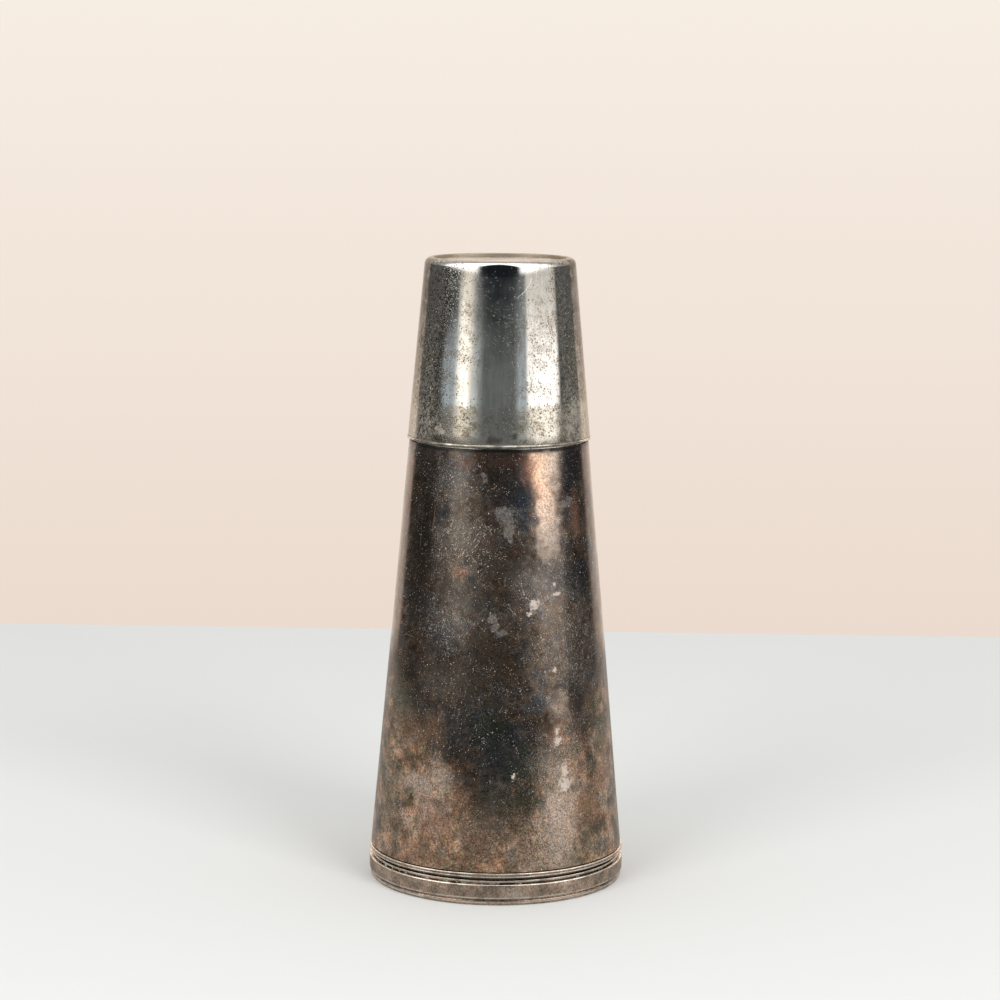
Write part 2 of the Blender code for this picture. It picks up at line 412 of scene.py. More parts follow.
# Where the tarnish has flaked off to grey metal.
BODY_WORN = (
    (2.5, 101.5, 2.0, 1.6),
    (5.5, 100.5, 2.2, 2.4),
    (6.5, 97.5, 1.5, 2.6),
    (7, 94.6, 0.8, 1.4),
    (-2.5, 74.2, 1.2, 1.3),
    (-1.5, 72.0, 1.0, 1.6),
    (2, 70.6, 1.5, 0.8),
    (21, 77.8, 1.6, 1.1),
    (19.5, 76.0, 0.9, 0.8),
    (-9, 111.0, 0.9, 0.7),
    (-8, 109.6, 0.6, 0.7),
    (44, 103, 2.3, 0.9),
    (47, 104, 1.2, 1.0),
    (160, 60, 2.4, 1.8),
    (-140, 84, 2.0, 2.6),
)
# Pale, crusted flecks.
BODY_FLECKS = (
    (8, 33.5, 0.5, 0.75),
    (34.5, 30.5, 1.5, 1.7),
    (35, 34.0, 0.9, 1.8),
    (31.5, 42, 1.0, 1.0),
    (31, 44.5, 0.6, 0.7),
    (31, 60.5, 0.5, 0.6),
    (34.5, 80, 1.0, 0.5),
    (33, 82.5, 0.4, 0.6),
    (20.5, 77.8, 1.4, 1.0),
    (17, 75.4, 0.6, 0.5),
    (130, 44, 0.8, 1.0),
)
# Where pale dust and hairlines gather.
BODY_HAZE = (
    (38, 67, 9, 13),
    (33, 90, 4, 10),
    (34, 34, 6, 11),
    (24, 78, 7, 6),
    (-27, 108, 6, 7),
    (-22, 92, 8, 8),
    (-30, 72, 7, 6),
    (26, 18, 5, 9),
    (-36, 28, 4, 5),
)
# Where the tarnish is blackest and clean of haze.
BODY_CLEAR = (
    (2, 112, 6, 6),
    (-48, 88, 4, 26),
    (5, 103, 4, 4),
    (-2, 80, 5, 5),
    (0, 56, 9, 10),
    (-8, 38, 9, 8),
    (12, 27, 5, 5),
    (8, 92, 3, 3),
    (50, 112, 4, 6),
    (54, 84, 5, 6),
)
BODY_SCRATCHES = (
    (-27, 114.5, 5.5, -9, 0.12),
    (-41, 99, 9.0, 86, 0.10),
    (-51, 94, 8.0, 92, 0.08),
    (-55, 67.7, 6.0, -4, 0.10),
    (-9, 72, 4.0, -50, 0.08),
    (62, 62.5, 6.0, 12, 0.10),
    (2, 51, 3.0, 62, 0.08),
    (5, 50.5, 2.6, 66, 0.08),
    (44, 80, 5.0, -14, 0.08),
    (170, 80, 12.0, 20, 0.10),
    (-120, 50, 9.0, -35, 0.10),
)


def body_metal():
    """Silver plate under heavy tarnish: black-brown with blue-grey and copper, worn and specked."""
    m = Recipe("body_tarnish")
    ragged = m.fade(m.clouds(2.4, detail=5, rough=0.65), 0.2, 0.8, -0.8, 0.8)
    colour = m.ramp(
        m.clouds(13, detail=5, rough=0.6),
        (0.32, (0.055, 0.043, 0.033)),
        (0.46, (0.120, 0.090, 0.066)),
        (0.56, (0.105, 0.098, 0.095)),
        (0.70, (0.200, 0.150, 0.115)),
    )
    tints = m.ramp(
        m.clouds(4.5, detail=4, rough=0.6, shift=21),
        (0.36, (0.72, 0.86, 1.10)),
        (0.46, (0.98, 0.98, 0.98)),
        (0.54, (1.30, 0.98, 0.82)),
        (0.62, (0.95, 1.00, 0.80)),
        (0.70, (1.20, 0.92, 0.98)),
    )

    # The lower part is paler, coppery and mottled, and reaches higher at the sides; the rest is
    # unevenly dark. Placed tarnish and one painted reflection of the floor go over both.
    aside = m.maths("ABSOLUTE", m.maths("SINE", m.angle))
    climb = m.add(m.times(m.clouds(16, detail=3, shift=6), 30), m.times(aside, -34))
    lower = m.fade(m.add(m.height, climb), 46, 28)
    mottled = m.ramp(
        m.clouds(6.0, detail=5, rough=0.62, shift=3),
        (0.34, (0.130, 0.110, 0.068)),
        (0.43, (0.250, 0.190, 0.125)),
        (0.50, (0.400, 0.245, 0.160)),
        (0.58, (0.500, 0.360, 0.270)),
        (0.68, (0.270, 0.225, 0.155)),
    )
    blotches = m.fade(m.clouds(3.4, detail=5, rough=0.65, shift=25), 0.36, 0.64, 0.50, 1.45)
    mottled = m.shaded(mottled, blotches)
    uneven = m.fade(m.clouds(2.2, detail=5, rough=0.7, shift=31), 0.34, 0.66, 0.45, 1.45)
    colour = m.shaded(colour, uneven)
    colour = m.mix(m.fade(lower, 0, 1, 1, 0.6), m.mix(lower, colour, mottled), tints, "MULTIPLY")
    for paint, soft, strength, places in BODY_TARNISH_AND_REFLECTION:
        colour = m.mix(m.times(m.patches(places, m.times(ragged, soft), soft), strength), colour, paint)

    # Worn places and the grain of the whole surface.
    chipped = m.fade(m.clouds(0.9, detail=5, rough=0.8, shift=11), 0.2, 0.8, -0.9, 0.9)
    worn = m.patches(BODY_WORN, chipped, 0.12)
    colour = m.mix(m.times(worn, 0.7), colour, (0.165, 0.155, 0.148))
    grain = m.fade(m.clouds(0.6, detail=5, rough=0.75), 0.3, 0.7, -1, 1)
    grain = m.add(1, m.times(grain, m.fade(lower, 0, 1, 0.55, 0.66)))
    colour = m.shaded(colour, grain)

    # Everything pale that lies on the tarnish: dust, specks, hairs, flecks, scratches and a veil.
    hazy = m.patches(BODY_HAZE, ragged, 0.8)
    clear = m.patches(BODY_CLEAR, ragged, 0.8)
    density = m.add(m.fade(m.clouds(7, detail=4, shift=4), 0.35, 0.7), m.times(hazy, 1.3))
    fine = m.clouds(0.22, detail=2, rough=0.65, shift=9)
    dust = m.fade(m.less(fine, m.fade(density, 0, 1.6, 0.63, 0.53)), 0.0, 0.10)
    specks = m.most([m.times(m.specks(1.3, 0.7, 0.17), 0.9), m.times(m.specks(0.52, 1.0, 0.30, 5), 0.62)])
    specks = m.times(specks, m.fade(m.clouds(3.4, detail=3, shift=14), 0.35, 0.60, 0.32, 1.0))
    hairs = m.most([m.clouds(0.2, 1, 0.5, (1, 1, 14), 12, turn) for turn in (28, -40, 75)])
    hairs = m.times(m.fade(hairs, 0.67, 0.74), m.add(0.14, m.times(hazy, 0.8)))
    crumbled = m.fade(m.clouds(0.7, detail=5, rough=0.8, shift=13), 0.25, 0.75, -1.2, 1.2)
    flecks = m.patches(BODY_FLECKS, crumbled, 0.5)
    lines = m.scratches(BODY_SCRATCHES)
    dust = m.times(dust, m.fade(lower, 0, 1, 1, 1.6))
    veil = m.fade(m.clouds(1.6, detail=5, rough=0.75, shift=15), 0.35, 0.65, 0.03, 0.16)
    veil = m.times(veil, m.fade(m.clouds(11, detail=3, shift=18), 0.36, 0.62, 0.15, 1.0))
    veil = m.times(m.add(veil, m.times(hazy, 0.09)), m.fade(m.add(clear, m.times(lower, 0.8)), 0, 1, 1, 0.12))
    pale = m.most([m.times(dust, 0.40), specks, m.times(flecks, 0.9), m.times(lines, 0.5), hairs, veil])
    colour = m.mix(pale, colour, (0.54, 0.46, 0.40))

    # Black dirt and painted shade from the cup's rim, in a band just under it, and the finish.
    rim_soot_and_shade = m.fade(m.height, BODY_HIGH - 1.3, BODY_HIGH - 0.5)
    rim_soot_and_shade = m.times(rim_soot_and_shade, m.fade(m.clouds(5, detail=4, shift=6), 0.3, 0.5, 0.6, 1))
    colour = m.mix(rim_soot_and_shade, colour, (0.010, 0.009, 0.008))
    metallic = m.fade(m.most([pale, m.times(worn, 0.5), m.times(rim_soot_and_shade, 0.7)]), 0, 1, 0.86, 0.15)
    rough = m.fade(m.clouds(7, detail=4, shift=2), 0.3, 0.7, 0.10, 0.20)
    rough = m.add(rough, m.add(m.times(pale, 0.3), m.times(lower, 0.07)))
    m.relief(m.add(m.times(grain, 0.1), specks), 0.015)
    return m.done(colour, metallic, rough)


# Where the cup's black specks are thickest.
CUP_SPECKED = (
    (-46, 152, 6, 12),
    (-38, 138, 4, 8),
    (-44, 124, 4, 6),
    (-23, 156, 4, 8),
    (-24, 142, 5, 6),
    (-24, 124, 9, 4.5),
    (-58, 138, 6, 22),
    (14, 150, 5, 7),
    (24, 154, 4, 7),
    (20, 136, 3, 8),
    (16, 125, 5, 5),
    (36, 144, 6, 12),
    (50, 140, 7, 24),
    (60, 124, 6, 6),
    (150, 150, 9, 12),
    (-150, 130, 9, 10),
)
# Single brown spots, dulled silver, places with few specks, and pale worn places.
CUP_SPOTS = ((-3, 120.0, 1.5, 1.0), (-20, 121.5, 1.4, 0.9), (10, 121, 0.5, 0.6))
CUP_DULL = ((36, 155, 6, 10), (-22, 158, 3, 6))
CUP_CLEANER = ((0, 159, 8, 7), (-8, 134, 5, 7))
CUP_WORN = ((57, 127, 2.6, 2.8), (66, 122, 2.2, 3.5), (50, 122.5, 1.6, 1.4), (-40, 122, 1.6, 1.2))
CUP_ARC = (0.6, 163.5, 8.0)  # a curved scratch's centre on the unrolled side, and its radius
CUP_SCRATCHES_AND_GLINT = (
    (57, 152, 2.4, 10, 0.12),
    (60, 148, 2.0, 4, 0.08),
    # A painted glint: a bright vertical line of reflected light, drawn like a scratch.
    (-51, 133, 5.5, 90, 0.16),
    (76, 149.5, 4.0, 2, 0.10),
    (34, 142, 3.0, 12, 0.06),
    (-8, 147, 1.6, 20, 0.10),
    (165, 140, 9.0, 30, 0.08),
)


def cup_metal():
    """Bright silver with black specked tarnish, thickest at the sides and near the mouth."""
    m = Recipe("cup_silver")
    ragged = m.fade(m.clouds(2.8, detail=5, rough=0.65), 0.2, 0.8, -0.8, 0.8)
    streaks = m.clouds(1.0, detail=4, rough=0.6, stretch=(1, 1, 22), shift=3)
    colour = m.ramp(streaks, (0.35, (0.70, 0.69, 0.66)), (0.65, (0.88, 0.87, 0.85)))
    aside = m.maths("ABSOLUTE", m.maths("SINE", m.angle))

    # A dark mottled film at the sides, and duller silver in places and near the mouth.
    film = m.fade(m.add(aside, m.times(ragged, 0.06)), 0.82, 0.94)
    film = m.times(film, m.fade(m.clouds(7, detail=4, shift=5), 0.3, 0.6, 0.8, 1.0))
    mottled = m.clouds(1.0, detail=5, rough=0.78, shift=17)
    grime = m.fade(m.add(aside, m.times(ragged, 0.05)), 0.64, 0.77)
    coat = m.most([film, m.times(grime, m.fade(mottled, 0.42, 0.56, 0.15, 0.85))])
    mottled = m.add(mottled, m.fade(m.height, 158, 126, 0.0, 0.15))
    tone = m.ramp(
        mottled,
        (0.40, (0.009, 0.009, 0.008)),
        (0.52, (0.028, 0.027, 0.021)),
        (0.60, (0.130, 0.118, 0.088)),
        (0.70, (0.420, 0.375, 0.295)),
    )
    colour = m.mix(m.times(coat, 0.95), colour, tone)
    dull = m.patches(CUP_DULL, ragged, 0.5)
    colour = m.mix(m.times(dull, 0.5), colour, (0.55, 0.52, 0.48))
    low = m.fade(m.add(m.height, m.times(ragged, 1.5)), CUP_LOW + 10.5, CUP_LOW + 8.5)
    low = m.times(low, m.fade(m.maths("ABSOLUTE", m.angle), radians(4), radians(16), 0.35, 1.0))
    low = m.times(low, m.fade(aside, 0.86, 1.0, 1.0, 0.45))
    colour = m.mix(m.times(low, 0.75), colour, (0.80, 0.745, 0.66))

    # Black crumbs of three sizes, with brown between them where they crowd.
    specked = m.patches(CUP_SPECKED, ragged, 0.9)
    clusters = m.fade(m.clouds(3.0, detail=6, rough=0.75, shift=4), 0.42, 0.64)
    upper_low = m.times(low, m.fade(m.height, CUP_LOW + 2.0, CUP_LOW + 6.0, 0.2, 1.0))
    density = m.add(specked, m.add(0.25, m.times(upper_low, 1.1)))
    density = m.times(density, m.add(0.12, m.times(clusters, 1.15)))
    cleaner = m.patches(CUP_CLEANER, ragged, 0.6)
    density = m.times(density, m.fade(cleaner, 0, 1, 1, 0.35))
    fine = m.specks(0.32, density, 0.55, 5)
    usual = m.specks(0.50, density, 0.50)
    large = m.specks(0.80, m.times(density, 0.6), 0.42, 3)
    black = m.most([fine, usual, large])
    brown = m.fade(m.clouds(0.35, detail=3, rough=0.7), 0.35, 0.65, 0.2, 0.75)
    brown = m.times(brown, m.times(m.fade(density, 0.1, 1.3), m.fade(coat, 0, 1, 1.0, 0.15)))
    colour = m.mix(brown, colour, (0.40, 0.345, 0.27))

    # Stains, pale flecks, worn places and spots.
    stain = m.fade(m.clouds(2.6, detail=4, rough=0.65, shift=7), 0.56, 0.66)
    stain = m.times(stain, m.most([low, m.times(film, 0.6)]))
    colour = m.mix(m.times(stain, 0.6), colour, (0.36, 0.28, 0.14))
    crowd = m.fade(clusters, 0, 1, 0.25, 0.9)
    flecks = m.most([m.specks(0.62, crowd, 0.55, 9), m.times(m.specks(0.36, crowd, 0.55, 19), 0.8)])
    flecks = m.times(flecks, m.times(grime, m.fade(m.height, 160, 140, 0.40, 0.75)))
    colour = m.mix(flecks, colour, (0.46, 0.42, 0.30))
    crumbled = m.fade(m.clouds(1.1, detail=5, rough=0.75, shift=6), 0.25, 0.75, -1.1, 1.1)
    worn = m.patches(CUP_WORN, crumbled, 0.3)
    colour = m.mix(m.times(worn, 0.7), colour, (0.50, 0.44, 0.36))
    flecks = m.most([flecks, m.times(worn, 0.6)])
    spots = m.patches(CUP_SPOTS, m.times(ragged, 0.9), 0.5)
    colour = m.mix(m.times(spots, 0.65), colour, (0.22, 0.155, 0.10))

    # Scratches, one of them curved, and one painted glint drawn as a straight line.
    arc_x, arc_z, arc_r = CUP_ARC
    sheet_x, sheet_z, _ = m.split(m.sheet)
    off = m.join(m.less(sheet_x, arc_x), m.less(sheet_z, arc_z), 0)
    off = m.less(m.vector("LENGTH", off, value=True), arc_r)
    arc = m.fade(m.maths("ABSOLUTE", off), 0.16, 0.04)
    arc = m.times(arc, m.fade(sheet_x, arc_x + 0.4, arc_x + 6))
    arc = m.times(arc, m.fade(sheet_z, arc_z - 1.5, arc_z - 4.5))
    lines = m.most([m.times(arc, 0.8), m.times(m.scratches(CUP_SCRATCHES_AND_GLINT), 0.7)])
    black = m.times(black, m.fade(m.clouds(0.7, detail=3, shift=8), 0.3, 0.7, 0.6, 1.0))
    colour = m.mix(m.times(black, 0.9), colour, (0.052, 0.045, 0.030))
    colour = m.mix(lines, colour, (0.88, 0.86, 0.80))
    metallic = m.fade(m.most([m.times(black, 0.6), m.times(coat, 0.5), flecks]), 0, 1, 1.0, 0.35)
    m.shader.inputs["Specular Tint"].default_value = (0.62, 0.59, 0.57, 1)
    rough = m.fade(m.clouds(5, detail=4, shift=1), 0.3, 0.7, 0.06, 0.11)
    for mask, more in ((low, 0.10), (dull, 0.03), (black, 0.12), (lines, 0.25)):
        rough = m.add(rough, m.times(mask, more))

    # Brown laid on the top of the crest and down its inner side, where the metal is also made duller and
    # rougher.
    inside = m.fade(m.radius, CREST_INNER_R + 0.5, CREST_INNER_R + 0.2)
    inside = m.times(inside, m.fade(m.height, CUP_HIGH - 3, CUP_HIGH - 2.5))
    crest = m.fade(m.height, CUP_HIGH - 0.25, CUP_HIGH - 0.05)
    crest = m.times(crest, m.fade(m.clouds(6, detail=3, shift=9), 0.3, 0.6, 0.2, 0.8))
    crest = m.most([crest, inside])
    colour = m.mix(m.times(crest, 0.9), colour, (0.34, 0.28, 0.19))
    metallic = m.times(metallic, m.fade(crest, 0, 1, 1, 0.5))
    rough = m.add(rough, m.times(crest, 0.2))
    m.relief(m.less(m.times(streaks, 0.2), black), 0.008)
    return m.done(colour, metallic, rough)


def foot_metal():
    """The foot's brown and copper tarnish, rubbed bright along its edges, with painted shade in its recessed
    channel.
    """
    m = Recipe("foot_tarnish")
    colour = m.ramp(
        m.clouds(5, detail=5, rough=0.65, shift=3),
        (0.35, (0.26, 0.205, 0.165)),
        (0.48, (0.46, 0.350, 0.280)),
        (0.58, (0.62, 0.450, 0.350)),
        (0.68, (0.66, 0.570, 0.500)),
    )
    grain = m.fade(m.clouds(0.5, detail=3, rough=0.7), 0.3, 0.7, 0.6, 1.4)
    colour = m.shaded(colour, grain)
    worn = m.fade(m.clouds(3, detail=4, shift=6), 0.40, 0.55, 0.35, 1.0)
    edges = []
    for edge in (0.75, BAND_LOW + 0.25, BAND_HIGH - 0.1, BAND_HIGH + 0.75, BEAD_LOW + 0.2, BEAD_HIGH - 0.15):
        off = m.maths("ABSOLUTE", m.less(m.height, edge))
        edges.append(m.fade(off, 0.26, 0.12))
    bright = m.times(m.most(edges), worn)
    colour = m.mix(bright, colour, (0.95, 0.87, 0.77))
    # Painted shade: the recessed channel is painted near black.
    channel_shade = m.fade(m.radius, FOOT_R - 0.75, FOOT_R - 1.0)
    colour = m.mix(m.times(channel_shade, 0.8), colour, (0.03, 0.032, 0.035))
    rough = m.fade(m.clouds(4, detail=3), 0.3, 0.7, 0.26, 0.42)
    m.relief(grain, 0.02)
    return m.done(colour, 1.0, m.less(rough, m.times(bright, 0.1)))


def inner_metal():
    """Satin silver that the drink has lightly stained, with drawn lines round it."""
    m = Recipe("inner_satin")
    colour = m.ramp(
        m.clouds(8, detail=5, rough=0.6, shift=5),
        (0.35, (0.42, 0.38, 0.31)),
        (0.55, (0.66, 0.63, 0.57)),
        (0.75, (0.74, 0.72, 0.68)),
    )
    black = m.fade(m.clouds(0.8, detail=3, rough=0.7, shift=8), 0.62, 0.70)
    colour = m.mix(m.times(black, 0.8), colour, (0.05, 0.045, 0.04))
    lines = m.clouds(0.35, detail=2, stretch=(60, 60, 1))
    m.relief(m.times(lines, 0.6), 0.01)
    return m.done(colour, 1.0, m.fade(m.clouds(6, detail=3), 0.3, 0.7, 0.22, 0.36))


def end_metal():
    """The cup's end disc: silver gone grey and pink, with black spots and fine scratches."""
    m = Recipe("end_silver")
    colour = m.ramp(
        m.clouds(6, detail=5, rough=0.6, shift=2),
        (0.35, (0.34, 0.29, 0.25)),
        (0.55, (0.58, 0.54, 0.49)),
        (0.75, (0.70, 0.68, 0.64)),
    )
    black = m.fade(m.clouds(0.9, detail=3, rough=0.75, shift=6), 0.58, 0.66)
    colour = m.mix(m.times(black, 0.85), colour, (0.03, 0.028, 0.025))
    m.relief(m.clouds(0.8, stretch=(1, 8, 1)), 0.012)
    return m.done(colour, 1.0, m.fade(m.clouds(5, detail=3), 0.3, 0.7, 0.2, 0.34))


def under_metal():
    """The underside: dull brown tarnish with turning marks in rings."""
    m = Recipe("base_tarnish")
    colour = m.ramp(
        m.clouds(7, detail=5, rough=0.6, shift=4),
        (0.35, (0.07, 0.058, 0.048)),
        (0.55, (0.19, 0.15, 0.12)),
        (0.75, (0.32, 0.27, 0.23)),
    )
    rings = m.maths("SINE", m.times(m.radius, 7.0))
    m.relief(m.times(rings, 0.5), 0.012)
    return m.done(colour, 1.0, m.fade(m.clouds(5, detail=3), 0.3, 0.7, 0.3, 0.45))


# The pieces.


def slope_at(z, low_r, low_z, high_r, high_z):
    """The radius at a height of a straight side."""
    return low_r + (high_r - low_r) * (z - low_z) / (high_z - low_z)


def body_r(z):
    """The cone's radius at a height."""
    return slope_at(z, BODY_FOOT_R, BODY_LOW, BODY_MOUTH_R, BODY_HIGH)


CUP_SIDE_HIGH = CUP_HIGH - 1.3  # where the CAD crest starts to round
FOLD_DEPTH = 2.4  # how far the crest's fold reaches down inside the cup
CUP_SIDE_R = radius_at("cup_wall", CUP_SIDE_HIGH)
CREST_INNER_R = radius_at("cup_end_disc", span("cup_end_disc")[1]) + GAP


def cup_r(z):
    """The radius of the cup's straight side at a height."""
    return slope_at(z, CUP_MOUTH_R, CUP_LOW, CUP_SIDE_R, CUP_SIDE_HIGH)


def make_foot(metal):
    """The foot: a lower bead, a scribed groove, a wide band and a ridge in the dark channel."""
    low, high = FOOT_LOW, FOOT_HIGH
    outline = rounded(
        [
            (FOOT_R - FOOT_DEPTH, low, 0.2),
            (FOOT_R - 0.4, low, 0.45),
            (FOOT_R - 0.4, low + LOWER_BEAD_TOP, 0.3),
            (FOOT_R - 0.8, low + LOWER_BEAD_TOP + 0.05),
            (FOOT_R - 0.8, low + BAND_LOW - 0.05),
            (FOOT_R, low + BAND_LOW, 0.3),
            (FOOT_R, low + BAND_HIGH, 0.3),
            (FOOT_R - 1.25, low + BAND_HIGH, 0.1),
            (FOOT_R - 1.25, low + BAND_HIGH + 0.25),
            (FOOT_R - 0.7, low + BAND_HIGH + 0.4, 0.12),
            (FOOT_R - 0.7, low + BAND_HIGH + 0.9, 0.12),
            (FOOT_R - 1.3, low + BAND_HIGH + 1.1),
            (FOOT_R - 1.3, high),
            (FOOT_R - FOOT_DEPTH, high),
        ]
    )
    mesh = turned_mesh("foot_moulding", outline)
    hand_worked(mesh, 0.05)
    piece("foot_moulding", mesh, metal, "body", "foot_ring")


def make_bead(metal):
    """The double bead under the cone."""
    inner = BODY_FOOT_R - 2 * SHEET
    outline = rounded(
        [
            (BEAD_R, BEAD_HIGH, 0.22),
            (inner, BEAD_HIGH),
            (inner, BEAD_LOW),
            (BEAD_R - 0.05, BEAD_LOW, 0.15),
            (BEAD_R - 0.05, BEAD_LOW + 0.35, 0.1),
            (BEAD_R - 0.25, BEAD_LOW + 0.45),
            (BEAD_R - 0.25, BEAD_HIGH - 0.5),
            (BEAD_R, BEAD_HIGH - 0.4, 0.1),
        ]
    )
    mesh = turned_mesh("cone_bead", outline)
    hand_worked(mesh, 0.04)
    piece("cone_bead", mesh, metal, "body", "base_bead_wire")


def make_body(metal):
    """The cone's wall, a little dented."""
    outline = rounded(
        [
            (BODY_FOOT_R, BODY_LOW, 0.12),
            (BODY_MOUTH_R, BODY_HIGH, 0.25),
            (BODY_MOUTH_R - SHEET, BODY_HIGH, 0.15),
            (BODY_FOOT_R - SHEET, BODY_LOW, 0.12),
        ]
    )
    mesh = turned_mesh("cone_wall", refined(outline))
    hand_worked(mesh, 0.10, 26, ((28, 82, 9, 0.10), (-18, 40, 8, 0.08), (150, 70, 9, 0.15)))
    piece("cone_wall", mesh, metal, "body", "body_shell")


def make_base(metal):
    """The bottom of the body, dished up inside the foot."""
    low, high = span("base_plate")
    rim = FOOT_R - FOOT_DEPTH - GAP
    flat = rim * 0.86
    outline = rounded(
        [
            (0, high - BASE_SHEET),
            (flat * 0.5, high - BASE_SHEET - 0.2, 20),
            (flat, low, 2),
            (rim, low),
            (rim, low + BASE_SHEET),
            (flat, low + BASE_SHEET, 2),
            (flat * 0.5, high - 0.2, 20),
            (0, high),
        ]
    )
    piece("base_disc", turned_mesh("base_disc", outline), metal, "body", "base_plate")


def make_neck(metal):
    """The skirt inside the cone's mouth, stepped in to stand up as the neck."""
    skirt_top = BODY_MOUTH_R - SHEET - GAP
    skirt_low = body_r(NECK_LOW) - SHEET - GAP
    neck = radius_at("neck_collar", NECK_HIGH - SHEET / 2)
    step = RIM_LOW
    outline = rounded(
        [
            (skirt_low, NECK_LOW, 0.15),
            (skirt_top, step, 0.3),
            (neck, step, 0.2),
            (neck, NECK_HIGH, 0.33),
            (neck - SHEET, NECK_HIGH, 0.33),
            (neck - SHEET, step - SHEET, 0.2),
            (skirt_top - SHEET, step - SHEET, 0.2),
            (skirt_low - SHEET, NECK_LOW, 0.15),
        ]
    )
    mesh = turned_mesh("neck_sleeve", refined(outline))
    piece("neck_sleeve", mesh, metal, "body", "neck_collar")


def make_strainer(metal):
    """The sleeve that plugs into the neck, with the wire that stops it on the neck's edge."""
    outline = rounded(
        [
            (SLEEVE_R, SLEEVE_LOW, 0.15),
            (SLEEVE_R, SLEEVE_HIGH, 0.28),
            (SLEEVE_R - SLEEVE_SHEET, SLEEVE_HIGH, 0.28),
            (SLEEVE_R - SLEEVE_SHEET, SLEEVE_LOW, 0.15),
        ]
    )
    mesh = turned_mesh("strainer_tube", refined(outline))
    piece("strainer_tube", mesh, metal, "strainer", "strainer_sleeve")
    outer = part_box("strainer_stop_wire")[1].x / MM
    outline = rounded(
        [
            (outer, STOP_LOW, 0.4),
            (outer, STOP_HIGH, 0.4),
            (SLEEVE_R + GAP, STOP_HIGH),
            (SLEEVE_R + GAP, STOP_LOW),
        ]
    )
    mesh = turned_mesh("strainer_wire", outline)
    piece("strainer_wire", mesh, metal, "strainer", "strainer_stop_wire")


HOLE_R = 1.15
CUTTER_LENGTH = 12  # long enough to pass right through the dome
HOLE_RINGS = ((0.0, 1), (4.6, 6), (9.2, 12), (13.8, 18))  # ring radius, number of holes


def make_plate(metal):
    """The domed plate, with its holes cut through and their edges softened."""
    low, high = span("strainer_plate")
    rim = SLEEVE_R - SLEEVE_SHEET - GAP
    rise = high - low - SHEET
    steps = 12
    under = [Vector((rim * i / steps, low + rise * (1 - (i / steps) ** 2))) for i in range(steps + 1)]
    over = [point + Vector((0, SHEET)) for point in reversed(under)]
    mesh = turned_mesh("pierced_plate", under + over, 96)
    bm = bmesh.new()
    for ring_r, count in HOLE_RINGS:
        for i in range(count):
            turn = Matrix.Rotation(tau * i / count, 4, "Z")
            place = turn @ Vector((ring_r * MM, 0, 0)) + Vector((0, 0, (low + rise / 2) * MM))
            bmesh.ops.create_cone(
                bm,
                cap_ends=True,
                segments=24,
                radius1=HOLE_R * MM,
                radius2=HOLE_R * MM,
                depth=CUTTER_LENGTH * MM,
                matrix=Matrix.Translation(place),
            )
    cutter_mesh = bpy.data.meshes.new("holes")
    bm.to_mesh(cutter_mesh)
    bm.free()
    cutter = bpy.data.objects.new("holes", cutter_mesh)
    blank = bpy.data.objects.new("plate_blank", mesh)
    for made in (cutter, blank):
        bpy.context.scene.collection.objects.link(made)
    cut = blank.modifiers.new("holes", "BOOLEAN")
    cut.operation = "DIFFERENCE"
    cut.object = cutter
    soft = blank.modifiers.new("soft edges", "BEVEL")
    soft.width = 0.08 * MM
    soft.segments = 2
    soft.angle_limit = radians(SHARP)
    pierced = bpy.data.meshes.new_from_object(blank.evaluated_get(bpy.context.evaluated_depsgraph_get()))
    for made in (cutter, blank):
        bpy.data.objects.remove(made)
    piece("pierced_plate", pierced, metal, "strainer", "strainer_plate")


def make_cup(metal, end, rim):
    """The cup's side with its rounded crest, the disc let into the end and the wire at its mouth."""
    fold = CUP_HIGH - FOLD_DEPTH
    outline = rounded(
        [
            (CUP_MOUTH_R, CUP_LOW - GAP + 0.05, 0.08),
            (cup_r(CUP_HIGH), CUP_HIGH, 1.8),
            (CREST_INNER_R, CUP_HIGH, 0.3),
            (CREST_INNER_R, fold, 0.2),
            (cup_r(fold) - CUP_SHEET, fold, 0.4),
            (CUP_MOUTH_R - CUP_SHEET, CUP_LOW - GAP + 0.05, 0.08),
        ],
        8,
    )
    mesh = turned_mesh("cup_side", refined(outline))
    hand_worked(mesh, 0.03, 20, ((-24, 140, 9, 0.02), (175, 140, 9, 0.1)))
    piece("cup_side", mesh, metal, "jigger_cup", "cup_wall")
    low, high = span("cup_end_disc")
    outline = rounded(
        [
            (0, low),
            (CREST_INNER_R - GAP, low),
            (CREST_INNER_R - GAP, high, 0.3),
            (CREST_INNER_R * 0.6, high - 0.12, 40),
            (0, high - 0.15),
        ]
    )
    mesh = turned_mesh("cup_end", refined(outline))
    piece("cup_end", mesh, end, "jigger_cup", "cup_end_disc")
    inner = CUP_MOUTH_R - CUP_SHEET
    outline = rounded(
        [
            (RIM_R - 0.05, RIM_LOW, 0.2),
            (RIM_R, RIM_LOW + 0.4, 0.15),
            (RIM_R - 0.2, RIM_HIGH, 0.1),
            (inner, RIM_HIGH),
            (inner, RIM_LOW, 0.15),
        ]
    )
    mesh = turned_mesh("cup_mouth_wire", outline)
    hand_worked(mesh, 0.05)
    piece("cup_mouth_wire", mesh, rim, "jigger_cup", "cup_rim_wire")


SOLDER_RUNS = 46
SOLDER_DEPTH = 1.15  # in from the foot's band
SOLDER_RISE = 0.15  # above the band's top edge
SOLDER_UNEVEN = 0.12
SOLDER_LUMPS = 1800  # per metre
SOLDER_SEED = 5


